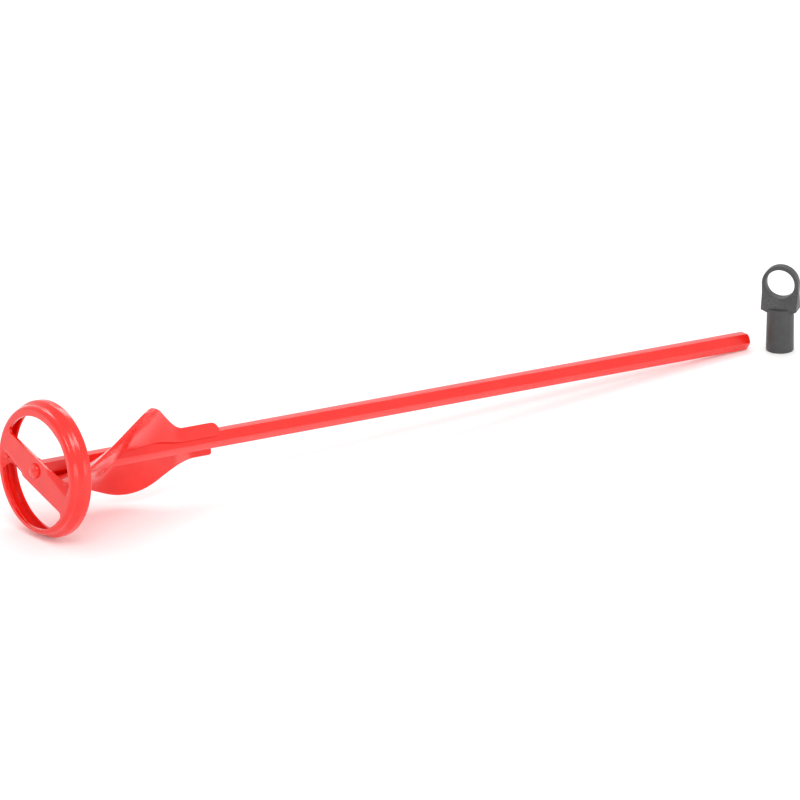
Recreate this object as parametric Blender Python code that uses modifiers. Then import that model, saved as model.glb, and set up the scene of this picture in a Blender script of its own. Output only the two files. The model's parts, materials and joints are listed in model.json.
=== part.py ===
"""A mortar mixing paddle lying on the floor, with its hanger cap standing beside the drive end.

The paddle's own axis is +X, from the face of its ring to the drive end of its hexagonal shaft.
Angles round that axis start at +Y and turn towards +Z.
"""

import math

import bmesh
import bpy
from mathutils import Matrix, Vector

MM = 0.001

# Paddle
LENGTH = 400 * MM
SHAFT_FLATS = 8 * MM
SHAFT_CHAMFER = 1.2 * MM
RING_RADIUS = 30 * MM
SHEET = 1.5 * MM
GAP = 0.3 * MM

# Ring: a pressed cup whose skirt steps out to the full radius and turns in along its back edge
RING_DEPTH = 9.1 * MM
FACE_RADIUS = 26.3 * MM
SKIRT_RADIUS = 28.1 * MM
STEP_START = 2.2 * MM
STEP_END = 5.8 * MM
RIM_RADIUS = 27 * MM
WINDOW_RADIUS = 24.6 * MM
WINDOW_CORNER = 2.6 * MM
BAR_WIDTH = 12.9 * MM
BAR_DROP = 0.8 * MM
BAR_ANGLE = math.radians(16.6)
RING_SEGMENTS = 48

# Rivet
RIVET_SHANK = 2.5 * MM
RIVET_LENGTH = 13 * MM
RIVET_HEAD = 3.7 * MM
RIVET_HEIGHT = 1.5 * MM

# Blades: from the ring they wind back round the shaft, narrow, and end as strips lying on it
BLADE_START = SHEET + 2 * GAP
BLADE_END = 95.6 * MM
RING_BLADE_RADIUS = 25.6 * MM
FRONT_BLADE_RADIUS = 25.8 * MM
BACK_BLADE_RADIUS = 25 * MM
BLADE_START_ANGLE = math.radians(178)
BLADE_TWIST = math.radians(-1.24) / MM
FRONT_NARROWS = (46 * MM, 76.5 * MM)
BACK_NARROWS = (48 * MM, 86 * MM)
STRIP_ANGLE = math.radians(101)
STRIP_RADIUS = 8.2 * MM
STRIP_FLAT = math.radians(150)
FRONT_STRIP_CORNER = 4.2 * MM
BACK_STRIP_CORNER = 1.6 * MM
SEAM_END = 31.5 * MM
ROOT_START = 45.5 * MM
ROOT_LEAD = math.radians(12)
SEAM_LEAD = math.radians(87)
STRIP_LEAD = math.radians(47)
STRIP_STARTS = (57 * MM, 77 * MM)
BLADE_CLEARANCE = 1.2 * MM
STEPS_ALONG = 48
STEPS_ACROSS = 10
BEAD = 0.6 * MM

# Hanger cap
CAP_TURN = math.radians(-54.2)
CAP_BEYOND = 10.9 * MM
CAP_ASIDE = -10.9 * MM
SOCKET_RADIUS = 6.45 * MM
SOCKET_TOP_RADIUS = 6.25 * MM
SOCKET_HEIGHT = 20.6 * MM
BORE_RADIUS = 4.85 * MM
BORE_DEPTH = 18 * MM
LOOP_HEIGHT = 32.3 * MM
LOOP_HOLE = 6.8 * MM
LOOP_RADIUS = 8.6 * MM
LOOP_THICKNESS = 3.8 * MM
SHOULDER_WIDTH = 16.8 * MM
SHOULDER_DEPTH = 8 * MM
SHOULDER_START = 18.4 * MM
SHOULDER_END = 20.1 * MM
SHOULDER_TOP = 21.3 * MM
WEDGE_TOP = 27.5 * MM


def clear_scene():
    for old in list(bpy.data.objects):
        bpy.data.objects.remove(old, do_unlink=True)


def collection(name):
    made = bpy.data.collections.new(name)
    bpy.context.scene.collection.children.link(made)
    return made


def material(name, colour, roughness, metallic=0.0):
    made = bpy.data.materials.new(name)
    made.use_nodes = True
    shader = made.node_tree.nodes["Principled BSDF"]
    shader.inputs["Base Color"].default_value = (*colour, 1.0)
    shader.inputs["Roughness"].default_value = roughness
    shader.inputs["Metallic"].default_value = metallic
    return made


def new_object(name, mesh, group, parent=None, finish=None):
    made = bpy.data.objects.new(name, mesh)
    group.objects.link(made)
    made.parent = parent
    if finish:
        mesh.materials.append(finish)
    return made


def mesh_from_bmesh(name, bm):
    bmesh.ops.recalc_face_normals(bm, faces=bm.faces)
    mesh = bpy.data.meshes.new(name)
    bm.to_mesh(mesh)
    bm.free()
    mesh.shade_smooth()
    mesh.set_sharp_from_angle(angle=math.radians(35))
    return mesh


def around(angle, radius, x=0.0):
    """A point round the paddle's axis."""
    return Vector((x, radius * math.cos(angle), radius * math.sin(angle)))


def smooth_step(t):
    t = min(max(t, 0.0), 1.0)
    return t * t * (3 - 2 * t)


def turned(name, profile, group, parent, finish, segments, along_x=True):
    """A profile of (axial, radial) points turned round the axis, starting and ending on it."""
    bm = bmesh.new()
    points = [bm.verts.new((radius, 0, axial)) for axial, radius in profile]
    for a, b in zip(points, points[1:]):
        bm.edges.new((a, b))
    mesh = bpy.data.meshes.new(name)
    bm.to_mesh(mesh)
    bm.free()
    made = new_object(name, mesh, group, parent, finish)
    screw = made.modifiers.new("Turn", "SCREW")
    screw.steps = segments
    screw.render_steps = segments
    screw.use_merge_vertices = True
    screw.merge_threshold = 0.00001
    screw.use_normal_calculate = True
    if along_x:
        made.rotation_euler = (0, math.pi / 2, 0)
    return made


def applied(made):
    """The object with its modifiers made part of its mesh, its normals facing out."""
    graph = bpy.context.evaluated_depsgraph_get()
    mesh = bpy.data.meshes.new_from_object(made.evaluated_get(graph))
    bm = bmesh.new()
    bm.from_mesh(mesh)
    bmesh.ops.remove_doubles(bm, verts=bm.verts, dist=1e-7)
    bmesh.ops.recalc_face_normals(bm, faces=bm.faces)
    bm.to_mesh(mesh)
    bm.free()
    mesh.shade_smooth()
    mesh.set_sharp_from_angle(angle=math.radians(35))
    made.modifiers.clear()
    made.data = mesh
    return made


def prism(name, outline, depth, group, parent=None, finish=None):
    """An outline in the XY plane made a solid from z = 0 up to z = depth."""
    bm = bmesh.new()
    base = bm.faces.new([bm.verts.new((x, y, 0)) for x, y in outline])
    grown = bmesh.ops.extrude_face_region(bm, geom=[base])["geom"]
    raised = [v for v in grown if isinstance(v, bmesh.types.BMVert)]
    bmesh.ops.translate(bm, verts=raised, vec=(0, 0, depth))
    return new_object(name, mesh_from_bmesh(name, bm), group, parent, finish)


def boolean(target, tool, operation):
    modifier = target.modifiers.new(f"{operation.title()} {tool.name}", "BOOLEAN")
    modifier.operation = operation
    modifier.solver = "EXACT"
    modifier.object = tool


def helper(made):
    made.hide_render = True
    made.display_type = "WIRE"
    return made


def arc(centre, radius, start, end, steps):
    """Points on a circle from one angle to another, both included."""
    return [
        (
            centre[0] + radius * math.cos(start + (end - start) * i / steps),
            centre[1] + radius * math.sin(start + (end - start) * i / steps),
        )
        for i in range(steps + 1)
    ]


def hexagon_radius(angle):
    """How far the shaft's surface is from its axis in one direction, with a flat facing up."""
    off = (angle - math.pi / 2 + math.pi / 6) % (math.pi / 3) - math.pi / 6
    return SHAFT_FLATS / 2 / math.cos(off)


def make_shaft(group, parent, finish, cutters):
    bm = bmesh.new()
    corner_radius = SHAFT_FLATS / math.sqrt(3)
    start = SHEET + GAP
    bmesh.ops.create_cone(
        bm,
        cap_ends=True,
        segments=6,
        radius1=corner_radius,
        radius2=corner_radius,
        depth=LENGTH - start,
    )
    bmesh.ops.rotate(bm, verts=bm.verts, matrix=Matrix.Rotation(math.pi / 2, 3, "Y"))
    bmesh.ops.translate(bm, verts=bm.verts, vec=((LENGTH + start) / 2, 0, 0))
    far = [e for e in bm.edges if all(v.co.x > LENGTH - MM for v in e.verts)]
    bmesh.ops.bevel(bm, geom=far, offset=SHAFT_CHAMFER, segments=2, profile=0.6, affect="EDGES")
    shaft = new_object("hex_shaft", mesh_from_bmesh("hex_shaft", bm), group, parent, finish)
    bore = turned(
        "shaft_bore_cutter",
        [
            (RIVET_LENGTH + GAP, 0),
            (RIVET_LENGTH + GAP, RIVET_SHANK + GAP),
            (-MM, RIVET_SHANK + GAP),
            (-MM, 0),
        ],
        cutters,
        parent,
        None,
        24,
    )
    boolean(shaft, helper(applied(bore)), "DIFFERENCE")
    return shaft


def ring_profile():
    """The cup's outer side from the axis to the back edge, then its inner side back to the axis."""
    corner = SKIRT_RADIUS - FACE_RADIUS
    outer = [(0, 0)]
    outer += [(x, r) for r, x in arc((FACE_RADIUS, corner), corner, -math.pi / 2, 0, 5)]
    outer += [step_point(i / 6, 0) for i in range(7)]
    outer += [(RING_DEPTH - MM, RING_RADIUS), (RING_DEPTH, RING_RADIUS - MM)]
    inner_corner = corner - 0.6 * MM
    inner = [(RING_DEPTH, RIM_RADIUS), (RING_DEPTH - SHEET, RIM_RADIUS)]
    inner += [step_point(1 - i / 6, SHEET) for i in range(7)]
    centre = (SKIRT_RADIUS - SHEET - inner_corner, SHEET + inner_corner)
    inner += [(x, r) for r, x in arc(centre, inner_corner, 0, -math.pi / 2, 4)]
    inner += [(SHEET, 0)]
    return outer + inner


def step_point(t, inset):
    """A point on the skirt where it steps out from the smaller radius to the full one."""
    radius = SKIRT_RADIUS + (RING_RADIUS - SKIRT_RADIUS) * smooth_step(t)
    return (STEP_START + (STEP_END - STEP_START) * t + 0.5 * inset, radius - inset)


def window_outline():
    """One D window, with the bar's edge along +X and rounded corners."""
    edge = BAR_WIDTH / 2
    corner = WINDOW_CORNER
    reach = math.sqrt((WINDOW_RADIUS - corner) ** 2 - (edge + corner) ** 2)
    meet = math.atan2(edge + corner, reach)
    right = arc((reach, edge + corner), corner, -math.pi / 2, meet, 6)
    top = arc((0, 0), WINDOW_RADIUS, meet, math.pi - meet, 26)
    left = arc((-reach, edge + corner), corner, math.pi - meet, math.pi * 3 / 2, 6)
    return right + top[1:-1] + left


def make_ring(group, parent, finish, cutters):
    ring = turned("ring", ring_profile(), group, parent, finish, RING_SEGMENTS)
    applied(ring)
    ring.rotation_euler = (0, math.pi / 2, 0)
    ring.data.transform(Matrix.Rotation(math.pi / RING_SEGMENTS, 4, "Z"))
    for name, turn in (("upper", 0), ("lower", math.pi)):
        cutter = prism(f"{name}_window_cutter", window_outline(), 8 * MM, cutters, parent)
        # The outline's own +X and +Y become +Y and +Z, and it is then turned to lie along the bar.
        cutter.matrix_local = (
            Matrix.Translation((-4 * MM, 0, -BAR_DROP))
            @ Matrix.Rotation(BAR_ANGLE + turn, 4, "X")
            @ Matrix(((0, 0, 1, 0), (1, 0, 0, 0), (0, 1, 0, 0), (0, 0, 0, 1)))
        )
        boolean(ring, helper(cutter), "DIFFERENCE")
    hole = turned(
        "rivet_hole_cutter",
        [(4 * MM, 0), (4 * MM, RIVET_SHANK + GAP), (-4 * MM, RIVET_SHANK + GAP), (-4 * MM, 0)],
        cutters,
        parent,
        None,
        24,
    )
    boolean(ring, helper(applied(hole)), "DIFFERENCE")
    return ring


def make_rivet(group, parent, finish):
    """A domed head on the bar's face, and a shank into the shaft's end."""
    head_base = -GAP
    steps = 5
    dome = [
        (
            head_base - 0.2 * MM - RIVET_HEIGHT * math.cos(math.pi / 2 * i / steps),
            RIVET_HEAD * math.sin(math.pi / 2 * i / steps),
        )
        for i in range(steps + 1)
    ]
    dome[0] = (dome[0][0], 0)
    profile = dome + [
        (head_base, RIVET_HEAD),
        (head_base, RIVET_SHANK),
        (RIVET_LENGTH, RIVET_SHANK),
        (RIVET_LENGTH, 0),
    ]
    return applied(turned("ring_rivet", profile, group, parent, finish, 24))


def outer_angle(x):
    """Where a blade's outer edge is round the axis: it twists at one rate, then runs straight."""
    twisted = BLADE_START_ANGLE + BLADE_TWIST * (x - BLADE_START)
    soft = math.radians(2.5)
    return STRIP_ANGLE + soft * math.log1p(math.exp((twisted - STRIP_ANGLE) / soft))


def outer_radius(x, back):
    """How far a blade's outer edge is from the axis: full behind the ring, then drawn in."""
    start, end = BACK_NARROWS if back else FRONT_NARROWS
    full = BACK_BLADE_RADIUS if back else FRONT_BLADE_RADIUS
    full += (RING_BLADE_RADIUS - full) * (1 - smooth_step((x - 5 * MM) / (7 * MM)))
    t = max(0.0, (x - start) / (end - start))
    narrow = smooth_step(t if back else t**1.35)
    return full + (STRIP_RADIUS - full) * narrow


def root_lead(x, back):
    """How far a blade's inner edge lies round the shaft from its outer edge.

    Near the ring the two blades' inner edges meet below the shaft, from opposite sides.
    """
    if x > ROOT_START:
        strip = smooth_step((x - STRIP_STARTS[0]) / (STRIP_STARTS[1] - STRIP_STARTS[0]))
        return ROOT_LEAD + (STRIP_LEAD - ROOT_LEAD) * strip
    seam = smooth_step((ROOT_START - x) / (ROOT_START - SEAM_END))
    lead = -SEAM_LEAD if back else SEAM_LEAD
    return ROOT_LEAD + (lead - ROOT_LEAD) * seam


def clearance_radius(x, angle):
    """How near the axis the middle of a blade's sheet comes: a circle near the ring, then the hexagon."""
    near_ring = SHAFT_FLATS / math.sqrt(3) + BLADE_CLEARANCE
    on_hexagon = smooth_step((x - ROOT_START) / (STRIP_STARTS[0] - ROOT_START))
    return near_ring + (hexagon_radius(angle) + BLADE_CLEARANCE - near_ring) * on_hexagon


def blade_point(x, across, back):
    """A point in the middle of a blade's sheet: across is 0 at the inner edge and 1 at the outer."""
    inner_angle = outer_angle(x) + root_lead(x, back)
    inner = around(inner_angle, clearance_radius(x, inner_angle))
    outer = around(outer_angle(x), outer_radius(x, back))
    corner = BACK_STRIP_CORNER if back else FRONT_STRIP_CORNER
    into_corner = max(0.0, x - BLADE_END + corner) / corner
    trim = corner * (1 - math.sqrt(max(0.0, 1 - into_corner**2)))
    trim /= (outer - inner).length
    point = inner.lerp(outer, 0.15 * trim + across * (1 - 1.15 * trim))
    angle = math.atan2(point.z, point.y)
    radius = max(math.hypot(point.y, point.z), clearance_radius(x, angle))
    return around(angle + (math.pi if back else 0.0), radius, x)


def make_blade(name, back, group, parent, finish):
    length = BLADE_END - 0.3 * MM - BLADE_START
    places = [BLADE_START + length * i / STEPS_ALONG for i in range(STEPS_ALONG + 1)]
    bm = bmesh.new()
    rows = [
        [bm.verts.new(blade_point(x, (j / STEPS_ACROSS) ** 1.4, back)) for j in range(STEPS_ACROSS + 1)]
        for x in places
    ]
    for row, after in zip(rows, rows[1:]):
        for j in range(STEPS_ACROSS):
            bm.faces.new((row[j], row[j + 1], after[j + 1], after[j]))
    blade = new_object(name, mesh_from_bmesh(name, bm), group, parent, finish)
    sheet = blade.modifiers.new("Sheet", "SOLIDIFY")
    sheet.thickness = SHEET
    sheet.offset = 0
    return blade


def bead(name, points, group, parent, finish):
    """A weld bead: a round bar along a few points, with closed ends."""
    curve = bpy.data.curves.new(name, "CURVE")
    curve.dimensions = "3D"
    curve.bevel_depth = BEAD
    curve.bevel_resolution = 2
    curve.use_fill_caps = True
    spline = curve.splines.new("POLY")
    spline.points.add(len(points) - 1)
    for place, point in zip(spline.points, points):
        place.co = (*point, 1)
    curve.materials.append(finish)
    made = bpy.data.objects.new(name, curve)
    group.objects.link(made)
    made.parent = parent
    return made


def root_weld_points(back):
    """Along the shaft beside a blade's root, on the side that its outer edge leans to."""
    points = []
    for i in range(13):
        x = (49 + 11 * i / 12) * MM
        angle = outer_angle(x) + root_lead(x, back) - math.radians(23)
        corner = SHAFT_FLATS / math.sqrt(3)
        points.append(around(angle + (math.pi if back else 0), corner + GAP + BEAD, x))
    return points


def tip_weld_points(back):
    """Behind the ring's bar, along a blade's ring end, on the side away from the shaft."""
    x = SHEET + GAP + BEAD
    points = []
    for i in range(6):
        across = 0.45 + 0.4 * i / 5
        here = blade_point(x, across, back)
        along = (blade_point(x, across + 0.02, back) - here).normalized()
        aside = Vector((1, 0, 0)).cross(along)
        points.append(here + aside * (SHEET / 2 + GAP + BEAD))
    return points


def seam_weld_points():
    """Over the gap where the two blades meet near the ring, on the side away from the shaft."""
    points = []
    for i in range(13):
        x = (5 + 24 * i / 12) * MM
        angle = outer_angle(x) + math.pi / 2
        points.append(around(angle, clearance_radius(x, angle) + SHEET / 2 + GAP + BEAD, x))
    return points


def hub_weld_points():
    """Behind the ring's bar, round the upper half of the shaft."""
    x = SHEET + GAP + BEAD
    radius = SHAFT_FLATS / math.sqrt(3) + GAP + BEAD
    return [around(math.radians(30 + 10 * i), radius, x) for i in range(13)]


def make_strip_weld(name, back, group, parent, finish):
    """A spot weld's button on the outer face of a blade's strip end."""
    bm = bmesh.new()
    bmesh.ops.create_cone(
        bm,
        cap_ends=True,
        segments=16,
        radius1=1.6 * MM,
        radius2=1.1 * MM,
        depth=0.4 * MM,
    )
    face = SHAFT_FLATS / 2 + GAP + SHEET + 2 * GAP
    bmesh.ops.translate(bm, verts=bm.verts, vec=(0, 0, face + 0.2 * MM))
    made = new_object(name, mesh_from_bmesh(name, bm), group, parent, finish)
    made.location = around(STRIP_FLAT - math.pi / 2, 2.5 * MM, 89 * MM)
    if back:
        made.location = (made.location.x, -made.location.y, -made.location.z)
    made.rotation_euler = (STRIP_FLAT - math.pi / 2 + (math.pi if back else 0), 0, 0)
    return made


def plate_levels():
    """(z, half width, half thickness) of the plate from its shoulders up to its round top."""
    half = SHOULDER_WIDTH / 2
    thin = LOOP_THICKNESS / 2
    thick = SHOULDER_DEPTH / 2
    levels = [
        (SHOULDER_START, SOCKET_TOP_RADIUS - 0.7 * MM, thick - MM),
        (SHOULDER_END, half, thick),
        (SHOULDER_TOP, half, thick - 0.1 * MM),
        (WEDGE_TOP, (half + LOOP_RADIUS) / 2, thin),
    ]
    levels += [(z, w, thin) for w, z in arc((0, LOOP_HEIGHT), LOOP_RADIUS, 0, math.pi / 2, 14)[:-1]]
    return levels + [(LOOP_HEIGHT + LOOP_RADIUS, 0, thin)]


def make_plate(name, group, parent):
    """The plate as a stack of rectangles, closed along a line at the top of its round end."""
    bm = bmesh.new()
    before = None
    for z, w, t in plate_levels():
        corners = [(-w, -t), (w, -t), (w, t), (-w, t)] if w else [(0, -t), (0, t)]
        row = [bm.verts.new((x, y, z)) for x, y in corners]
        if len(row) == 2:
            row = [row[0], row[0], row[1], row[1]]
        if before is None:
            bm.faces.new(row)
        else:
            for a in range(4):
                b = (a + 1) % 4
                bm.faces.new(list(dict.fromkeys((before[a], before[b], row[b], row[a]))))
        before = row
    return new_object(name, mesh_from_bmesh(name, bm), group, parent)


def upright(made, thickness):
    """Turns a prism's outline plane to face -Y, centred on its thickness."""
    made.data.transform(Matrix.Translation((0, thickness / 2, 0)) @ Matrix.Rotation(math.pi / 2, 4, "X"))
    return made


def make_cap(group, parent, finish, cutters):
    socket = turned(
        "hanger_cap",
        [
            (SOCKET_HEIGHT, 0),
            (SOCKET_HEIGHT, SOCKET_TOP_RADIUS),
            (0.5 * MM, SOCKET_RADIUS),
            (0, SOCKET_RADIUS - 0.4 * MM),
            (0, 0),
        ],
        group,
        parent,
        finish,
        40,
        along_x=False,
    )
    applied(socket)
    plate = make_plate("loop_plate", cutters, parent)
    bore = turned(
        "bore_cutter",
        [(BORE_DEPTH, 0), (BORE_DEPTH, BORE_RADIUS), (-5 * MM, BORE_RADIUS), (-5 * MM, 0)],
        cutters,
        parent,
        None,
        32,
        along_x=False,
    )
    eye = prism("eye_cutter", arc((0, LOOP_HEIGHT), LOOP_HOLE, 0, 2 * math.pi, 32)[:-1], 20 * MM, cutters, parent)
    upright(eye, 20 * MM)
    boolean(socket, helper(plate), "UNION")
    boolean(socket, helper(applied(bore)), "DIFFERENCE")
    boolean(socket, helper(eye), "DIFFERENCE")
    return socket


def world_box(objects):
    """The lowest and highest corner of the objects' evaluated meshes."""
    bpy.context.view_layer.update()
    graph = bpy.context.evaluated_depsgraph_get()
    points = []
    for made in objects:
        evaluated = made.evaluated_get(graph)
        mesh = evaluated.to_mesh()
        points += [evaluated.matrix_world @ v.co for v in mesh.vertices]
        evaluated.to_mesh_clear()
    low = Vector(min(p[k] for p in points) for k in range(3))
    high = Vector(max(p[k] for p in points) for k in range(3))
    return low, high


def main():
    clear_scene()
    group = collection("mortar_mixing_paddle")
    cutters = collection("cutters")
    coat = (0.80, 0.045, 0.035)
    red = {
        name: material(name, coat, 0.3)
        for name in ("shaft_coat", "ring_coat", "blade_coat", "rivet_coat", "weld_coat")
    }
    plastic = material("cap_plastic", (0.045, 0.045, 0.048), 0.45)

    origin = bpy.data.objects.new("origin", None)
    group.objects.link(origin)
    paddle = bpy.data.objects.new("paddle_axis", None)
    group.objects.link(paddle)
    paddle.parent = origin
    # The back of the ring's skirt and the drive end's lower flat both rest on the floor.
    rim = RING_RADIUS * math.cos(math.pi / RING_SEGMENTS)
    touch = RING_DEPTH - MM
    tilt = math.atan((rim - SHAFT_FLATS / 2) / (LENGTH - SHAFT_CHAMFER - touch))
    height = touch * math.sin(tilt) + rim * math.cos(tilt)
    paddle.location = (0, 0, height)
    paddle.rotation_euler = (0, tilt, 0)

    parts = [
        make_shaft(group, paddle, red["shaft_coat"], cutters),
        make_ring(group, paddle, red["ring_coat"], cutters),
        make_rivet(group, paddle, red["rivet_coat"]),
        make_blade("blade_front", False, group, paddle, red["blade_coat"]),
        make_blade("blade_back", True, group, paddle, red["blade_coat"]),
        bead("front_root_weld", root_weld_points(False), group, paddle, red["weld_coat"]),
        bead("back_root_weld", root_weld_points(True), group, paddle, red["weld_coat"]),
        bead("front_tip_weld", tip_weld_points(False), group, paddle, red["weld_coat"]),
        bead("back_tip_weld", tip_weld_points(True), group, paddle, red["weld_coat"]),
        bead("seam_weld", seam_weld_points(), group, paddle, red["weld_coat"]),
        bead("hub_weld", hub_weld_points(), group, paddle, red["weld_coat"]),
        make_strip_weld("front_strip_weld", False, group, paddle, red["weld_coat"]),
        make_strip_weld("back_strip_weld", True, group, paddle, red["weld_coat"]),
    ]

    cap = bpy.data.objects.new("cap_place", None)
    group.objects.link(cap)
    cap.parent = origin
    cap.location = (LENGTH * math.cos(tilt) + CAP_BEYOND, CAP_ASIDE, 0)
    cap.rotation_euler = (0, 0, CAP_TURN)
    parts.append(make_cap(group, cap, plastic, cutters))

    low, high = world_box(parts)
    origin.location = (-(low.x + high.x) / 2, -(low.y + high.y) / 2, -low.z)
    bpy.context.view_layer.update()


main()
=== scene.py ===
"""The mortar mixing paddle and its hanger cap as they look: shapes, finishes, light and camera."""

import json
import math

import bmesh
import bpy
from mathutils import Matrix, Vector, noise
from mathutils.geometry import delaunay_2d_cdt


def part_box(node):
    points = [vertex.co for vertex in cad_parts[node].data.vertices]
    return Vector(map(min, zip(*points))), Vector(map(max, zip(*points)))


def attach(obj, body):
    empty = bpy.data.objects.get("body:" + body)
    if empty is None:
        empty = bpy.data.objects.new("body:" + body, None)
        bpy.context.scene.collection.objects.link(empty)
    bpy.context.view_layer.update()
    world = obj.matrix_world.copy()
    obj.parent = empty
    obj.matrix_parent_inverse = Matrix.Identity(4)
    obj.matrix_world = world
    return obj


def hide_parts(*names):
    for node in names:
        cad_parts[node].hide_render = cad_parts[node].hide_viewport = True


MM = 0.001

# Design dimensions, mostly the CAD's. The bar and the sheets are a little thinner here, as they look in
# the photo, and the blades lie closer to the bar.
LENGTH = 400 * MM
SHAFT_FLATS = 7.6 * MM
SHAFT_START = 1.55 * MM
SHAFT_CORNER = 0.45 * MM
DRIVE_END_ROUNDING = 2.1 * MM
SHEET = 1.2 * MM
RING_RADIUS = 29.9 * MM
RING_DEPTH = 9.1 * MM
FACE_RADIUS = 26.3 * MM
SKIRT_RADIUS = 28.1 * MM
STEP_START = 2.2 * MM
STEP_END = 5.8 * MM
RIM_RADIUS = 27 * MM
WINDOW_RADIUS = 24.6 * MM
WINDOW_CORNERS = (1.8 * MM, 4.2 * MM)
BAR_WIDTH = 12.9 * MM
BAR_DROP = 0.8 * MM
BAR_ANGLE = math.radians(16.6)
RING_SEGMENTS = 144
RIM_TURN = 1 * MM
RING_EDGE = 0.4 * MM

# The rolled-back edge of the ring's bar. Its fold is LIP_FOLD across the bar at LIP_END along it, and
# slopes outwards from there towards the middle.
LIP_FOLD = -3.1 * MM
LIP_SLOPE = 0.13
LIP_START = 6.2 * MM
LIP_GROWTH = 4.5 * MM
LIP_END = 22 * MM
LIP_FADE_START = 22.6 * MM
LIP_FADE = 2.2 * MM
LIP_SOFTNESS = 0.22 * MM
LIP_STEEPNESS = 0.7

RIVET_HEAD = 3.4 * MM
RIVET_HEIGHT = 1.9 * MM
RIVET_SKIRT = 0.4 * MM
RIVET_LUMPS = 0.2 * MM
RIVET_DENT = 0.5 * MM

BLADE_START = 1.8 * MM
BLADE_END = 95.6 * MM
RING_BLADE_RADIUS = 25.6 * MM
FRONT_BLADE_RADIUS = 25.8 * MM
BACK_BLADE_RADIUS = 25 * MM
BLADE_START_ANGLE = math.radians(178)
BLADE_TWIST = math.radians(-1.24) / MM
FRONT_NARROWS = (46 * MM, 76.5 * MM)
BACK_NARROWS = (48 * MM, 86 * MM)
STRIP_ANGLE = math.radians(101)
STRIP_RADIUS = 8.2 * MM
STRIP_FLAT = math.radians(150)
FRONT_STRIP_CORNER = 4.2 * MM
BACK_STRIP_CORNER = 1.6 * MM
SEAM_END = 31.5 * MM
ROOT_START = 45.5 * MM
ROOT_LEAD = math.radians(12)
SEAM_LEAD = math.radians(89.7)
STRIP_LEAD = math.radians(47)
STRIP_STARTS = (57 * MM, 77 * MM)
BLADE_CLEARANCE = 0.62 * MM
BLADE_EDGE = 0.35 * MM

# Welds: where they start and how long they are along the shaft, and the beads' radii
ROOT_WELD_START = 48 * MM
ROOT_WELD_LENGTH = 13 * MM
SEAM_WELD_START = 2.5 * MM
SEAM_WELD_LENGTH = 29 * MM
SPOT_WELD_PLACE = 89 * MM
SPOT_WELD_ASIDE = 2.4 * MM
SPOT_WELD_SINK = 0.03 * MM
HUB_WELD_RADIUS = 4.9 * MM
THIN_BEAD = 0.55 * MM
ROOT_BEAD = 0.75 * MM
HUB_BEAD = 0.9 * MM
BEAD_STEP = 0.35 * MM

# Hanger cap
CAP_TURN = math.radians(-54.2)
SOCKET_RADIUS = 6.45 * MM
SOCKET_TOP_RADIUS = 6.25 * MM
SOCKET_HEIGHT = 20.6 * MM
BORE_RADIUS = 4.85 * MM
BORE_DEPTH = 18 * MM
LOOP_HEIGHT = 32.3 * MM
LOOP_HOLE = 6.8 * MM
LOOP_RADIUS = 8.6 * MM
LOOP_THICKNESS = 3.8 * MM
SHOULDER_WIDTH = 16.8 * MM
SHOULDER_DEPTH = 8 * MM
SHOULDER_START = 18.4 * MM
SHOULDER_END = 20.1 * MM
SHOULDER_TOP = 21.3 * MM
WEDGE_TOP = 27.5 * MM
CAP_EDGE = 0.4 * MM
CAP_SEGMENTS = 72
BORE_CUT_BELOW = 5 * MM
EYE_CUT_DEPTH = 20 * MM

# Camera: where it looks is measured from the middle of the ring's face
CAMERA_AZIMUTH = math.radians(-37.66)
CAMERA_ELEVATION = math.radians(19.88)
CAMERA_DISTANCE = 3.2135
CAMERA_AIM_RIGHT = 0.1565
CAMERA_AIM_UP = 0.0304
CAMERA_LENS = 337.5

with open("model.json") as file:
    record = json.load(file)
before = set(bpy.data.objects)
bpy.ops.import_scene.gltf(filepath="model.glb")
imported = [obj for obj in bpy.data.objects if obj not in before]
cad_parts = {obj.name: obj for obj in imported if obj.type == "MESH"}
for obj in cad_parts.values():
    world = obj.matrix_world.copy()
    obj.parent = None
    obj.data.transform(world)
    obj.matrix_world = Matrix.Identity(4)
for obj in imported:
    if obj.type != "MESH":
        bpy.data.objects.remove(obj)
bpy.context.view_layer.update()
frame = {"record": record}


# ---------------------------------------------------------------- helpers


def paddle_matrix():
    """The paddle's own axes: +X from the middle of the ring's face along the shaft, +Z nearly up."""
    end = next(m for m in frame["record"]["mounts"] if m["name"] == "drive_end")
    along = Vector(end["axis"]).normalized()
    across = Vector((0, 1, 0))
    up = along.cross(across)
    turned = Matrix((along, across, up)).transposed().to_4x4()
    return Matrix.Translation(Vector(end["pos_m"]) - along * LENGTH) @ turned


def cap_matrix():
    """The cap's own axes: upright through its middle, with the loop's flat side facing -Y."""
    low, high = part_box("hanger_cap")
    middle = (Vector(low) + Vector(high)) / 2
    return Matrix.Translation((middle.x, middle.y, low[2])) @ Matrix.Rotation(CAP_TURN, 4, "Z")


PADDLE = paddle_matrix()
CAP = cap_matrix()


def smooth_step(t):
    t = min(max(t, 0.0), 1.0)
    return t * t * (3 - 2 * t)


def soft_max(value, floor, softness):
    """The larger of two values, with the turn from one to the other rounded off."""
    over = (value - floor) / softness
    return value if over > 30 else floor + softness * math.log1p(math.exp(over))


def around(angle, radius, x=0.0):
    return Vector((x, radius * math.cos(angle), radius * math.sin(angle)))


def arc(centre, radius, start, end, steps):
    """Points on a circle from one angle to another, both included."""
    return [
        (
            centre[0] + radius * math.cos(start + (end - start) * i / steps),
            centre[1] + radius * math.sin(start + (end - start) * i / steps),
        )
        for i in range(steps + 1)
    ]


def join_rows(bm, before, row):
    """Quads between two closed rows of vertices."""
    for i in range(len(row)):
        j = (i + 1) % len(row)
        bm.faces.new((before[i], before[j], row[j], row[i]))


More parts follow.
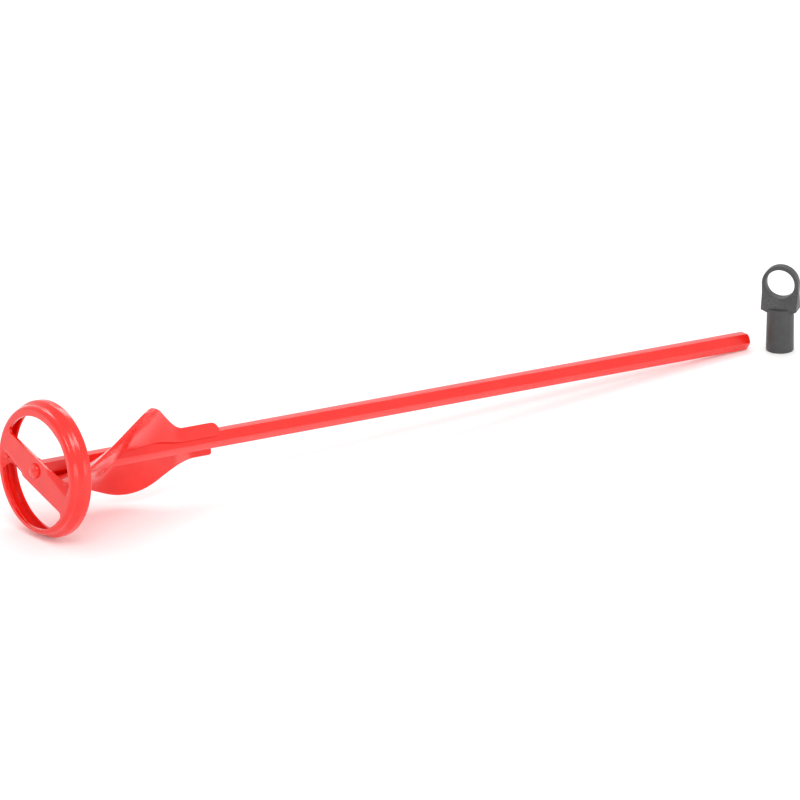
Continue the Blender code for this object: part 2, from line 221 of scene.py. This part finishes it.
def circle(bm, radius, z, count):
    """New vertices round the Z axis."""
    turns = [2 * math.pi * k / count for k in range(count)]
    return [bm.verts.new((radius * math.cos(turn), radius * math.sin(turn), z)) for turn in turns]


def new_object(name, bm):
    """An object in the scene made from a bmesh, which is freed."""
    mesh = bpy.data.meshes.new(name)
    bm.to_mesh(mesh)
    bm.free()
    made = bpy.data.objects.new(name, mesh)
    bpy.context.scene.collection.objects.link(made)
    return made


def piece(name, bm, material, place, body, nodes):
    """An object from a bmesh, shaded smooth, that rides on a body and stands for CAD nodes."""
    bmesh.ops.recalc_face_normals(bm, faces=bm.faces)
    made = new_object(name, bm)
    made.data.shade_smooth()
    made.data.materials.append(material)
    made.matrix_world = place
    bpy.context.view_layer.update()
    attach(made, body)
    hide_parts(*nodes)
    return made


def thicken(made, thickness, edge, offset=0.0):
    """Gives an open sheet its thickness and rounds its cut edges."""
    sheet = made.modifiers.new("Sheet", "SOLIDIFY")
    sheet.thickness = thickness
    sheet.offset = offset
    sheet.use_even_offset = True
    round_edges(made, edge)


def round_edges(made, width, segments=3, angle=38):
    bevel = made.modifiers.new("Edges", "BEVEL")
    bevel.width = width
    bevel.segments = segments
    bevel.limit_method = "ANGLE"
    bevel.angle_limit = math.radians(angle)
    bevel.harden_normals = False


# ---------------------------------------------------------------- materials


class Nodes:
    """Short calls for building one material's nodes."""

    def __init__(self, name):
        self.material = bpy.data.materials.new(name)
        self.material.use_nodes = True
        self.tree = self.material.node_tree
        self.shader = self.tree.nodes["Principled BSDF"]
        self.place = self.add("ShaderNodeTexCoord").outputs["Object"]

    def add(self, kind, **settings):
        node = self.tree.nodes.new(kind)
        for key, value in settings.items():
            setattr(node, key, value)
        return node

    def link(self, source, target):
        self.tree.links.new(source, target)

    def noise(self, scale, detail=2.0, roughness=0.5, offset=(0, 0, 0), stretch=(1, 1, 1)):
        mapping = self.add("ShaderNodeMapping")
        mapping.inputs["Location"].default_value = offset
        mapping.inputs["Scale"].default_value = stretch
        self.link(self.place, mapping.inputs["Vector"])
        texture = self.add("ShaderNodeTexNoise")
        texture.inputs["Scale"].default_value = scale
        texture.inputs["Detail"].default_value = detail
        texture.inputs["Roughness"].default_value = roughness
        self.link(mapping.outputs["Vector"], texture.inputs["Vector"])
        return texture.outputs["Fac"]

    def ramp(self, value, low, high, start=0.0, end=1.0):
        """The value spread so that low becomes start and high becomes end."""
        node = self.add("ShaderNodeMapRange")
        node.inputs["From Min"].default_value = low
        node.inputs["From Max"].default_value = high
        node.inputs["To Min"].default_value = start
        node.inputs["To Max"].default_value = end
        self.link(value, node.inputs["Value"])
        return node.outputs["Result"]

    def mix(self, factor, a, b):
        node = self.add("ShaderNodeMix", data_type="RGBA")
        self.link(factor, node.inputs["Factor"])
        for socket, colour in ((node.inputs[6], a), (node.inputs[7], b)):
            if isinstance(colour, tuple):
                socket.default_value = (*colour, 1)
            else:
                self.link(colour, socket)
        return node.outputs[2]

    def maths(self, operation, a, b):
        node = self.add("ShaderNodeMath", operation=operation)
        for socket, value in zip(node.inputs, (a, b)):
            if isinstance(value, (int, float)):
                socket.default_value = value
            else:
                self.link(value, socket)
        return node.outputs["Value"]

    def bump(self, height, distance, normal=None):
        node = self.add("ShaderNodeBump")
        node.inputs["Distance"].default_value = distance
        node.inputs["Strength"].default_value = 1.0
        self.link(height, node.inputs["Height"])
        if normal:
            self.link(normal, node.inputs["Normal"])
        return node.outputs["Normal"]


def powder_coat(name, shift):
    """Glossy red powder coat: orange peel, specks of dust, smears, and paler paint along the edges."""
    n = Nodes(name)
    offset = (shift, shift * 0.37, -shift * 0.71)
    clouds = n.noise(scale=45, detail=3, roughness=0.6, offset=offset)
    colour = n.mix(n.ramp(clouds, 0.35, 0.65), (0.79, 0.009, 0.004), (0.87, 0.015, 0.008))
    dust = n.ramp(n.noise(scale=2600, detail=2, roughness=0.7, offset=offset), 0.70, 0.78)
    colour = n.mix(n.maths("MULTIPLY", dust, 0.35), colour, (0.88, 0.16, 0.12))
    geometry = n.add("ShaderNodeNewGeometry")
    edge = n.ramp(geometry.outputs["Pointiness"], 0.53, 0.60)
    patchy = n.ramp(n.noise(scale=330, detail=3, roughness=0.6, offset=offset), 0.42, 0.62)
    worn = n.maths("MULTIPLY", n.maths("MULTIPLY", edge, patchy), 0.30)
    colour = n.mix(worn, colour, (0.90, 0.10, 0.07))
    n.link(colour, n.shader.inputs["Base Color"])
    smears = n.noise(scale=120, detail=4, roughness=0.6, offset=offset, stretch=(0.35, 1, 1))
    n.link(n.ramp(smears, 0.3, 0.7, start=0.15, end=0.27), n.shader.inputs["Roughness"])
    swell = n.noise(scale=170, detail=1, roughness=0.4, offset=offset)
    peel = n.noise(scale=620, detail=2, roughness=0.45, offset=offset)
    waves = n.bump(swell, distance=0.1 * MM)
    skin = n.bump(peel, distance=0.035 * MM, normal=waves)
    n.link(skin, n.shader.inputs["Normal"])
    n.shader.inputs["Specular IOR Level"].default_value = 0.5
    n.shader.inputs["Coat Weight"].default_value = 0.3
    n.shader.inputs["Coat Roughness"].default_value = 0.08
    return n.material


def moulded_plastic(name):
    """Dark grey moulded plastic: fine sparked grain, a satin shine and slightly rubbed edges."""
    n = Nodes(name)
    clouds = n.noise(scale=150, detail=3, roughness=0.6)
    colour = n.mix(n.ramp(clouds, 0.3, 0.7), (0.052, 0.052, 0.054), (0.068, 0.068, 0.070))
    geometry = n.add("ShaderNodeNewGeometry")
    edge = n.ramp(geometry.outputs["Pointiness"], 0.52, 0.60)
    patchy = n.ramp(n.noise(scale=700, detail=3, roughness=0.6), 0.4, 0.65, start=0.1, end=0.5)
    rubbed = n.maths("MULTIPLY", edge, patchy)
    colour = n.mix(rubbed, colour, (0.12, 0.12, 0.125))
    n.link(colour, n.shader.inputs["Base Color"])
    shine = n.ramp(n.noise(scale=260, detail=3, roughness=0.6), 0.3, 0.7, start=0.38, end=0.52)
    n.link(shine, n.shader.inputs["Roughness"])
    grain = n.noise(scale=4200, detail=2, roughness=0.6)
    n.link(n.bump(grain, distance=0.02 * MM), n.shader.inputs["Normal"])
    n.shader.inputs["Specular IOR Level"].default_value = 0.3
    return n.material


# ---------------------------------------------------------------- ring


def bar_axes(p, q):
    """From the bar's own axes, along it and across it, to the paddle's Y and Z."""
    c, s = math.cos(BAR_ANGLE), math.sin(BAR_ANGLE)
    return p * c - q * s, p * s + q * c - BAR_DROP


def window_corner(corner):
    """A window's rounded corner: its centre's place along the bar, and the angle where it meets the arc."""
    edge = BAR_WIDTH / 2
    reach = math.sqrt((WINDOW_RADIUS - corner) ** 2 - (edge + corner) ** 2)
    return reach, math.atan2(edge + corner, reach)


def window_outline(sign):
    """One D window in the bar's axes, closed: a tight corner at one end and a wide one at the other."""
    edge = BAR_WIDTH / 2
    tight, wide = WINDOW_CORNERS
    reach, meet = window_corner(tight)
    far_reach, far_meet = window_corner(wide)
    right = arc((reach, edge + tight), tight, -math.pi / 2, meet, 12)
    top = arc((0, 0), WINDOW_RADIUS, meet, math.pi - far_meet, 64)
    left = arc((-far_reach, edge + wide), wide, math.pi - far_meet, math.pi * 3 / 2, 16)
    base = [(-far_reach + (reach + far_reach) * i / 40, edge) for i in range(1, 40)]
    return [(sign * p, sign * q) for p, q in right + top[1:-1] + left + base]


def lip_depth(p, q):
    """How far the bar's edge is rolled back: from the front, below at its left end, above at its right."""
    if p < 0:
        p, q = -p, -q
    fold = LIP_FOLD - (LIP_END - p) * LIP_SLOPE
    past = soft_max(fold - q, 0.0, LIP_SOFTNESS) - LIP_SOFTNESS * math.log1p(math.exp(-4))
    along = smooth_step((p - LIP_START) / LIP_GROWTH)
    rim = 1 - smooth_step((math.hypot(p, q) - LIP_FADE_START) / LIP_FADE)
    return max(0.0, past) * LIP_STEEPNESS * along * rim


def in_window(p, q, grow):
    """Whether a point lies in a window whose corners are square, grown or shrunk all round."""
    return abs(q) > BAR_WIDTH / 2 - grow and math.hypot(p, q) < WINDOW_RADIUS + grow


def face_grid(middle):
    """A grid of points all over the face's metal, a little clear of its edges, in the bar's axes."""
    step = 0.8 * MM
    steps = int(FACE_RADIUS / step) + 2
    grid = []
    for i in range(-steps, steps + 1):
        for j in range(-steps, steps + 1):
            p, q = (i + 0.5 * (j % 2)) * step, j * step * math.sqrt(3) / 2
            inside = math.hypot(p - middle[0], q - middle[1]) < FACE_RADIUS - 0.5 * MM
            if inside and not in_window(p, q, 0.35 * MM):
                grid.append(Vector((p, q)))
    return grid


def ring_sheet():
    """The ring's outer skin as an open sheet: a face with two windows, and the skirt round it."""
    middle = (BAR_DROP * math.sin(BAR_ANGLE), BAR_DROP * math.cos(BAR_ANGLE))
    rim = arc(middle, FACE_RADIUS, 0, 2 * math.pi, RING_SEGMENTS)[:-1]
    points = []
    edges = []
    for loop in (rim, window_outline(1), window_outline(-1)):
        first = len(points)
        points += [Vector(p) for p in loop]
        edges += [(first + i, first + (i + 1) % len(loop)) for i in range(len(loop))]
    points += face_grid(middle)
    found, _, triangles, *_ = delaunay_2d_cdt(points, edges, [], 1, 1e-7)
    bm = bmesh.new()
    verts = []
    for p, q in found:
        y, z = bar_axes(p, q)
        verts.append(bm.verts.new((lip_depth(p, q), y, z)))
    tolerance = 0.02 * MM
    for triangle in triangles:
        p = sum(found[i][0] for i in triangle) / 3
        q = sum(found[i][1] for i in triangle) / 3
        if not in_window(p, q, -tolerance) or corner_gap(p, q):
            bm.faces.new([verts[i] for i in triangle])
    loose = [v for v in bm.verts if not v.link_faces]
    bmesh.ops.delete(bm, geom=loose, context="VERTS")
    skirt(bm)
    return bm


def corner_gap(p, q):
    """Whether a point lies in the metal between a window's square corner and its rounded one."""
    if q < 0:
        p, q = -p, -q
    corner = WINDOW_CORNERS[0 if p > 0 else 1]
    reach, meet = window_corner(corner)
    off = Vector((abs(p) - reach, q - BAR_WIDTH / 2 - corner))
    turned = math.atan2(off.y, off.x)
    return off.length > corner and -math.pi / 2 < turned < meet


def skirt_profile():
    """(x, radius) from the face's edge along the skirt, out over its step and in along its back edge."""
    corner = SKIRT_RADIUS - FACE_RADIUS
    points = [(x, r) for r, x in arc((FACE_RADIUS, corner), corner, -math.pi / 2, 0, 8)][1:]
    for i in range(13):
        t = i / 12
        radius = SKIRT_RADIUS + (RING_RADIUS - SKIRT_RADIUS) * smooth_step(t)
        points.append((STEP_START + (STEP_END - STEP_START) * t, radius))
    straight_end = RING_DEPTH - RIM_TURN
    points += [(STEP_END + (straight_end - STEP_END) * i / 3, RING_RADIUS) for i in range(1, 4)]
    bend = arc((straight_end, RING_RADIUS - RIM_TURN), RIM_TURN, math.pi / 2, 0, 6)
    points += bend[1:]
    points += [(RING_DEPTH, bend[-1][1] + (RIM_RADIUS - bend[-1][1]) * i / 2) for i in (1, 2)]
    return points


def skirt(bm):
    """Carries the face's outer edge on round the skirt."""
    before = [None] * RING_SEGMENTS
    for vert in bm.verts:
        radius = math.hypot(vert.co.y, vert.co.z)
        if abs(radius - FACE_RADIUS) < 0.01 * MM:
            turn = (math.atan2(vert.co.z, vert.co.y) - BAR_ANGLE) / (2 * math.pi) * RING_SEGMENTS
            before[round(turn) % RING_SEGMENTS] = vert
    angles = [BAR_ANGLE + 2 * math.pi * i / RING_SEGMENTS for i in range(RING_SEGMENTS)]
    for x, radius in skirt_profile():
        row = [bm.verts.new(around(angle, radius, x)) for angle in angles]
        join_rows(bm, before, row)
        before = row


def make_ring(material):
    ring = piece("pressed_ring", ring_sheet(), material, PADDLE, "paddle", ["ring"])
    thicken(ring, SHEET, edge=RING_EDGE, offset=-1.0)
    return ring


def make_rivet(material):
    """The domed head in the middle of the bar: a low, hammered button."""
    bm = bmesh.new()
    rings, count = 12, 40
    top = bm.verts.new((-RIVET_HEIGHT, 0, 0))
    before = None
    for i in range(1, rings + 1):
        t = i / rings
        radius = RIVET_HEAD * math.sin(t * math.pi / 2)
        dome = RIVET_HEIGHT * math.cos(t * math.pi / 2) ** 0.8
        row = []
        for j in range(count):
            angle = 2 * math.pi * j / count
            lump = RIVET_LUMPS * noise.noise(Vector((3 * t, 2 * math.cos(angle), 2 * math.sin(angle))))
            dent = RIVET_DENT * math.exp(-((3 * t - 1) ** 2) * 2) * max(0.0, math.cos(angle - 1.2))
            row.append(bm.verts.new(around(angle, radius, dent - dome + lump * (1 - t))))
        if before:
            join_rows(bm, before, row)
        else:
            for j in range(count):
                bm.faces.new((top, row[(j + 1) % count], row[j]))
        before = row
    base_row = [bm.verts.new((RIVET_SKIRT, v.co.y, v.co.z)) for v in before]
    join_rows(bm, before, base_row)
    bm.faces.new(base_row)
    return piece("rivet_head", bm, material, PADDLE, "paddle", ["ring_rivet"])


# ---------------------------------------------------------------- shaft


def hexagon_section(inset, corner, steps=5):
    """A hexagon with a flat facing up and rounded corners, as (y, z) points."""
    flats = SHAFT_FLATS / 2 - inset
    reach = (flats - corner) / math.cos(math.pi / 6)
    points = []
    for k in range(6):
        middle = math.pi / 3 * k
        centre = (reach * math.cos(middle), reach * math.sin(middle))
        points += arc(centre, corner, middle - math.pi / 6, middle + math.pi / 6, steps)
    return points


def make_shaft(material):
    """The hexagonal bar, with its corners softened by the coat and its drive end rounded off."""
    sections = [(SHAFT_START, 0, SHAFT_CORNER)]
    sections += [(LENGTH * i / 40, 0, SHAFT_CORNER) for i in range(1, 40)]
    sections += [(LENGTH - 3.4 * MM, 0, SHAFT_CORNER)]
    for i in range(1, 11):
        t = i / 10
        x = LENGTH - DRIVE_END_ROUNDING + DRIVE_END_ROUNDING * math.sin(t * math.pi / 2)
        inset = DRIVE_END_ROUNDING * 0.85 * (1 - math.cos(t * math.pi / 2))
        to_round = SHAFT_FLATS / 2 - inset - SHAFT_CORNER - 0.02 * MM
        sections.append((x, inset, SHAFT_CORNER + to_round * smooth_step(1.2 * t)))
    bm = bmesh.new()
    before = None
    for x, inset, corner in sections:
        row = [bm.verts.new((x, y, z)) for y, z in hexagon_section(inset, corner)]
        if before:
            join_rows(bm, before, row)
        else:
            bm.faces.new(row[::-1])
        before = row
    bm.faces.new(before)
    shaft = piece("hexagon_bar", bm, material, PADDLE, "paddle", ["hex_shaft"])
    shaft.data.set_sharp_from_angle(angle=math.radians(60))
    return shaft


# ---------------------------------------------------------------- blades


def hexagon_radius(angle):
    """How far the shaft's surface is from its axis in one direction, with a flat facing up."""
    off = (angle - math.pi / 2 + math.pi / 6) % (math.pi / 3) - math.pi / 6
    return SHAFT_FLATS / 2 / math.cos(off)


def outer_angle(x):
    """Where a blade's outer edge is round the axis: it twists at one rate, then runs straight."""
    twisted = BLADE_START_ANGLE + BLADE_TWIST * (x - BLADE_START)
    return soft_max(twisted, STRIP_ANGLE, math.radians(2.5))


def outer_radius(x, back):
    """How far a blade's outer edge is from the axis: full behind the ring, then drawn in."""
    start, end = BACK_NARROWS if back else FRONT_NARROWS
    full = BACK_BLADE_RADIUS if back else FRONT_BLADE_RADIUS
    full += (RING_BLADE_RADIUS - full) * (1 - smooth_step((x - 5 * MM) / (7 * MM)))
    t = max(0.0, (x - start) / (end - start))
    narrow = smooth_step(t if back else t**1.35)
    return full + (STRIP_RADIUS - full) * narrow


def root_lead(x, back):
    """How far a blade's inner edge lies round the shaft from its outer edge."""
    if x > ROOT_START:
        strip = smooth_step((x - STRIP_STARTS[0]) / (STRIP_STARTS[1] - STRIP_STARTS[0]))
        return ROOT_LEAD + (STRIP_LEAD - ROOT_LEAD) * strip
    seam = smooth_step((ROOT_START - x) / (ROOT_START - SEAM_END))
    lead = -SEAM_LEAD if back else SEAM_LEAD
    return ROOT_LEAD + (lead - ROOT_LEAD) * seam


def clearance_radius(x, angle):
    """How near the axis the middle of a blade's sheet comes: a circle near the ring, then the hexagon."""
    near_ring = SHAFT_FLATS / 2 + 0.2 * MM
    on_hexagon = smooth_step((x - STRIP_STARTS[0] + 3 * MM) / (15 * MM))
    return near_ring + (hexagon_radius(angle) + BLADE_CLEARANCE - near_ring) * on_hexagon


def blade_point(x, across, back):
    """A point in the middle of a blade's sheet: across is 0 at the inner edge and 1 at the outer."""
    inner_angle = outer_angle(x) + root_lead(x, back)
    inner = around(inner_angle, clearance_radius(x, inner_angle))
    outer = around(outer_angle(x), outer_radius(x, back))
    corner = BACK_STRIP_CORNER if back else FRONT_STRIP_CORNER
    into_corner = max(0.0, x - BLADE_END + corner) / corner
    trim = corner * (1 - math.sqrt(max(0.0, 1 - into_corner**2)))
    trim /= (outer - inner).length
    point = inner.lerp(outer, 0.15 * trim + across * (1 - 1.15 * trim))
    angle = math.atan2(point.z, point.y)
    radius = soft_max(math.hypot(point.y, point.z), clearance_radius(x, angle), 0.02 * MM)
    return around(angle + (math.pi if back else 0.0), radius, x)


def make_blade(name, back, node, material):
    """One blade as a smooth sheet, dense enough for its curl, with rounded edges."""
    along, across = 150, 26
    length = BLADE_END - 0.15 * MM - BLADE_START
    bm = bmesh.new()
    rows = []
    for i in range(along + 1):
        t = i / along
        x = BLADE_START + length * (t + 0.02 * math.sin(math.pi * t) * (1 - t))
        rows.append([bm.verts.new(blade_point(x, (j / across) ** 1.25, back)) for j in range(across + 1)])
    for row, after in zip(rows, rows[1:]):
        for j in range(across):
            bm.faces.new((row[j], row[j + 1], after[j + 1], after[j]))
    blade = piece(name, bm, material, PADDLE, "paddle", [node])
    thicken(blade, SHEET, edge=BLADE_EDGE)
    return blade


# ---------------------------------------------------------------- welds


def bead(name, points, radius, material, nodes, ripple=0.12, flatten=None):
    """A weld bead: a rippled tube through the points, ends rounded off, flattened if given which way."""
    bm = bmesh.new()
    sides = 12
    fine = resample(points, BEAD_STEP)
    before = None
    count = len(fine)
    for i, here in enumerate(fine):
        t = i / (count - 1)
        ahead = (fine[min(i + 1, count - 1)] - fine[max(i - 1, 0)]).normalized()
        side = (ahead.cross(flatten(here)) if flatten else ahead.orthogonal()).normalized()
        up = side.cross(ahead).normalized()
        ends = math.sqrt(max(0.0, 1 - (2 * t - 1) ** 8))
        wave = 1 + ripple * math.sin(i * 1.35) + 0.10 * noise.noise(here / (1.3 * MM))
        size = max(radius * ends * wave, 0.02 * MM)
        tall = 0.6 if flatten else 1.0
        row = []
        for k in range(sides):
            a = 2 * math.pi * k / sides
            row.append(bm.verts.new(here + side * size * math.cos(a) + up * size * tall * math.sin(a)))
        if before:
            join_rows(bm, before, row)
        else:
            bm.faces.new(row[::-1])
        before = row
    bm.faces.new(before)
    return piece(name, bm, material, PADDLE, "paddle", nodes)


def resample(points, step):
    """Points at even steps along a line through the given ones."""
    lengths = [(b - a).length for a, b in zip(points, points[1:])]
    total = sum(lengths)
    count = max(8, int(total / step))
    out = []
    for i in range(count + 1):
        left = total * i / count
        k = 0
        while k < len(lengths) - 1 and left > lengths[k]:
            left -= lengths[k]
            k += 1
        out.append(points[k].lerp(points[k + 1], min(1.0, left / lengths[k])))
    return out


def outward(point):
    """Away from the shaft's axis."""
    return Vector((0, point.y, point.z)).normalized()


def root_weld_points(back):
    points = []
    for i in range(13):
        x = ROOT_WELD_START + ROOT_WELD_LENGTH * i / 12
        angle = outer_angle(x) + root_lead(x, back) - math.radians(13)
        points.append(around(angle + (math.pi if back else 0), hexagon_radius(angle) + 0.35 * MM, x))
    return points


def tip_weld_points(back):
    points = []
    for i in range(8):
        across = 0.35 + 0.55 * i / 7
        here = blade_point(BLADE_START, across, back)
        along = (blade_point(BLADE_START, across + 0.02, back) - here).normalized()
        aside = Vector((1, 0, 0)).cross(along)
        points.append(here + aside * SHEET * 0.5 + Vector((0.1 * MM, 0, 0)))
    return points


def seam_weld_points():
    points = []
    for i in range(15):
        x = SEAM_WELD_START + SEAM_WELD_LENGTH * i / 14
        angle = outer_angle(x) + math.pi / 2
        points.append(around(angle, clearance_radius(x, angle) + SHEET * 0.42, x))
    return points


def hub_weld_points():
    x = SHEET + 0.2 * MM
    return [around(math.radians(20 + 10 * i), HUB_WELD_RADIUS, x) for i in range(15)]


def make_strip_weld(name, node, back, material):
    """A spot weld's shallow dimple on a strip: a raised rim round a hollow, as (radius, height) in mm."""
    bm = bmesh.new()
    profile = [(0, 0.03), (0.5, 0.04), (0.9, 0.10), (1.2, 0.22), (1.5, 0.24), (1.8, 0.14), (2.05, -0.1)]
    count = 32
    middle = bm.verts.new((0, 0, profile[0][1] * MM))
    before = None
    for radius, height in profile[1:]:
        row = circle(bm, radius * MM, height * MM, count)
        for k in range(count):
            j = (k + 1) % count
            if before is None:
                bm.faces.new((middle, row[k], row[j]))
            else:
                bm.faces.new((before[k], row[k], row[j], before[j]))
        before = row
    bm.faces.new(before[::-1])
    turn = STRIP_FLAT - math.pi / 2 + (math.pi if back else 0)
    face = hexagon_radius(STRIP_FLAT) + BLADE_CLEARANCE + SHEET / 2
    local = Matrix.Translation((SPOT_WELD_PLACE, 0, 0)) @ Matrix.Rotation(turn, 4, "X")
    local = local @ Matrix.Translation((0, SPOT_WELD_ASIDE, face - SPOT_WELD_SINK))
    return piece(name, bm, material, PADDLE @ local, "paddle", [node])


def make_welds(material):
    bead("seam_bead", seam_weld_points(), THIN_BEAD, material, ["seam_weld"], ripple=0.03, flatten=outward)
    bead("hub_bead", hub_weld_points(), HUB_BEAD, material, ["hub_weld"])
    bead("front_root_bead", root_weld_points(False), ROOT_BEAD, material, ["front_root_weld"])
    bead("back_root_bead", root_weld_points(True), ROOT_BEAD, material, ["back_root_weld"])
    bead("front_tip_bead", tip_weld_points(False), THIN_BEAD, material, ["front_tip_weld"])
    bead("back_tip_bead", tip_weld_points(True), THIN_BEAD, material, ["back_tip_weld"])
    make_strip_weld("front_spot_weld", "front_strip_weld", False, material)
    make_strip_weld("back_spot_weld", "back_strip_weld", True, material)


# ---------------------------------------------------------------- cap


def turned_solid(name, profile, segments):
    """A closed solid from (radius, z) points, starting and ending on the axis."""
    bm = bmesh.new()
    rows = [circle(bm, radius, z, segments if radius else 1) for radius, z in profile]
    for low, high in zip(rows, rows[1:]):
        for k in range(segments):
            j = (k + 1) % segments
            corners = [low[k % len(low)], low[j % len(low)], high[j % len(high)], high[k % len(high)]]
            unique = list(dict.fromkeys(corners))
            if len(unique) > 2:
                bm.faces.new(unique)
    return temporary(name, bm)


def temporary(name, bm):
    """A working solid for a Boolean, removed once it is used."""
    bmesh.ops.recalc_face_normals(bm, faces=bm.faces)
    return new_object(name, bm)


def slab(name, outline, depth):
    """An outline in X and Z made solid, centred on Y = 0."""
    bm = bmesh.new()
    base = bm.faces.new([bm.verts.new((x, -depth / 2, z)) for x, z in outline])
    grown = bmesh.ops.extrude_face_region(bm, geom=[base])["geom"]
    raised = [v for v in grown if isinstance(v, bmesh.types.BMVert)]
    bmesh.ops.translate(bm, verts=raised, vec=(0, depth, 0))
    return temporary(name, bm)


def plate_levels():
    """(z, half width, half thickness) of the plate from its shoulders up to its round top."""
    half = SHOULDER_WIDTH / 2
    thin = LOOP_THICKNESS / 2
    thick = SHOULDER_DEPTH / 2
    levels = [
        (SHOULDER_START, SOCKET_TOP_RADIUS - 0.7 * MM, thick - MM),
        (SHOULDER_END, half, thick),
        (SHOULDER_TOP, half, thick - 0.1 * MM),
        (WEDGE_TOP, (half + LOOP_RADIUS) / 2, thin),
    ]
    levels += [(z, w, thin) for w, z in arc((0, LOOP_HEIGHT), LOOP_RADIUS, 0, math.pi / 2, 30)[:-1]]
    return levels + [(LOOP_HEIGHT + LOOP_RADIUS, 0, thin)]


def make_plate(name):
    """The plate as a stack of rectangles, closed along a line at the top of its round end."""
    bm = bmesh.new()
    before = None
    for z, w, t in plate_levels():
        corners = [(-w, -t), (w, -t), (w, t), (-w, t)] if w else [(0, -t), (0, t)]
        row = [bm.verts.new((x, y, z)) for x, y in corners]
        if len(row) == 2:
            row = [row[0], row[0], row[1], row[1]]
        if before is None:
            bm.faces.new(row)
        else:
            for a in range(4):
                b = (a + 1) % 4
                bm.faces.new(list(dict.fromkeys((before[a], before[b], row[b], row[a]))))
        before = row
    return temporary(name, bm)


def joined(target, tools):
    """The target's mesh after Booleans with each (tool, operation); the tools are removed."""
    for tool, operation in tools:
        modifier = target.modifiers.new(tool.name, "BOOLEAN")
        modifier.operation = operation
        modifier.solver = "EXACT"
        modifier.object = tool
    graph = bpy.context.evaluated_depsgraph_get()
    bm = bmesh.new()
    bm.from_object(target, graph)
    for made in [target] + [tool for tool, _ in tools]:
        bpy.data.objects.remove(made, do_unlink=True)
    return bm


def make_cap(material):
    """The moulded cap: a round socket, and on it an upright plate, thick at its foot, with a round eye."""
    plate = make_plate("plate")
    foot = [(0, 0), (SOCKET_RADIUS - 0.4 * MM, 0), (SOCKET_RADIUS, 0.5 * MM)]
    top = [(SOCKET_TOP_RADIUS, SOCKET_HEIGHT), (0, SOCKET_HEIGHT)]
    socket = turned_solid("socket", foot + top, CAP_SEGMENTS)
    mouth = [(0, -BORE_CUT_BELOW), (BORE_RADIUS, -BORE_CUT_BELOW)]
    end = [(BORE_RADIUS, BORE_DEPTH), (0, BORE_DEPTH)]
    bore = turned_solid("bore", mouth + end, CAP_SEGMENTS)
    hole = arc((0, LOOP_HEIGHT), LOOP_HOLE, 0, 2 * math.pi, 64)[:-1]
    eye = slab("eye", hole, EYE_CUT_DEPTH)
    bm = joined(socket, [(plate, "UNION"), (bore, "DIFFERENCE"), (eye, "DIFFERENCE")])
    cap = piece("moulded_cap", bm, material, CAP, "cap", ["hanger_cap"])
    round_edges(cap, CAP_EDGE, angle=30)
    cap.data.set_sharp_from_angle(angle=math.radians(50))
    return cap


# ---------------------------------------------------------------- stage


def make_floor():
    """A plain white sheet that glows a little, as on a light table: painted light that pales its shadows
    and lights from below.
    """
    bm = bmesh.new()
    bmesh.ops.create_grid(bm, x_segments=2, y_segments=2, size=9)
    floor = new_object("floor", bm)
    n = Nodes("floor_paper")
    paper = n.mix(n.noise(scale=3), (0.93, 0.93, 0.93), (0.95, 0.95, 0.95))
    n.link(paper, n.shader.inputs["Base Color"])
    # The glow is painted light: it pales the shadow and red bounce on the floor under the paddle, and lifts
    # its underside.
    n.shader.inputs["Emission Color"].default_value = (1, 1, 1, 1)
    n.shader.inputs["Emission Strength"].default_value = 0.12
    n.shader.inputs["Roughness"].default_value = 0.9
    n.shader.inputs["Specular IOR Level"].default_value = 0.1
    floor.data.materials.append(n.material)


def area_light(name, place, aim, size, power):
    light = bpy.data.lights.new(name, "AREA")
    light.shape = "RECTANGLE"
    light.size, light.size_y = size
    light.energy = power
    made = bpy.data.objects.new(name, light)
    bpy.context.scene.collection.objects.link(made)
    made.location = place
    made.rotation_euler = (Vector(aim) - Vector(place)).to_track_quat("-Z", "Y").to_euler()


def make_lights():
    """A white world and three soft boxes: over the ring, along the near side and behind the drive end."""
    world = bpy.data.worlds.new("studio")
    world.use_nodes = True
    background = world.node_tree.nodes["Background"]
    background.inputs["Color"].default_value = (1, 1, 1, 1)
    background.inputs["Strength"].default_value = 0.87
    bpy.context.scene.world = world
    area_light("key", place=(-0.9, -1.2, 1.9), aim=(0, 0, 0), size=(1.2, 0.8), power=14)
    area_light("fill", place=(0.1, -1.6, 0.30), aim=(-0.1, 0, 0.03), size=(1.4, 0.5), power=4)
    area_light("rim", place=(0.9, 1.1, 1.5), aim=(0, 0, 0), size=(1.4, 0.5), power=8)


def make_camera():
    """A long lens from the near left, aimed to put the object where the photo has it."""
    a, e = CAMERA_AZIMUTH, CAMERA_ELEVATION
    right = Vector((math.cos(a), math.sin(a), 0))
    back = Vector((math.sin(a) * math.cos(e), -math.cos(a) * math.cos(e), math.sin(e)))
    up = back.cross(right)
    aim = PADDLE.translation + right * CAMERA_AIM_RIGHT + up * CAMERA_AIM_UP
    data = bpy.data.cameras.new("camera")
    data.lens = CAMERA_LENS
    data.sensor_width = 36
    data.clip_end = 50
    camera = bpy.data.objects.new("camera", data)
    bpy.context.scene.collection.objects.link(camera)
    turned = Matrix((right, up, back)).transposed().to_4x4()
    camera.matrix_world = Matrix.Translation(aim + back * CAMERA_DISTANCE) @ turned
    bpy.context.scene.camera = camera


# ---------------------------------------------------------------- scene

make_camera()
make_floor()
make_lights()

make_shaft(powder_coat("bar_powder_coat", 0.0))
make_ring(powder_coat("ring_powder_coat", 1.3))
make_rivet(powder_coat("rivet_powder_coat", 2.1))
blade_coat = powder_coat("blade_powder_coat", 3.7)
make_blade("front_blade", False, "blade_front", blade_coat)
make_blade("back_blade", True, "blade_back", blade_coat)
make_welds(powder_coat("weld_powder_coat", 5.9))
make_cap(moulded_plastic("cap_grained_plastic"))

bpy.context.scene.view_settings.view_transform = "Standard"
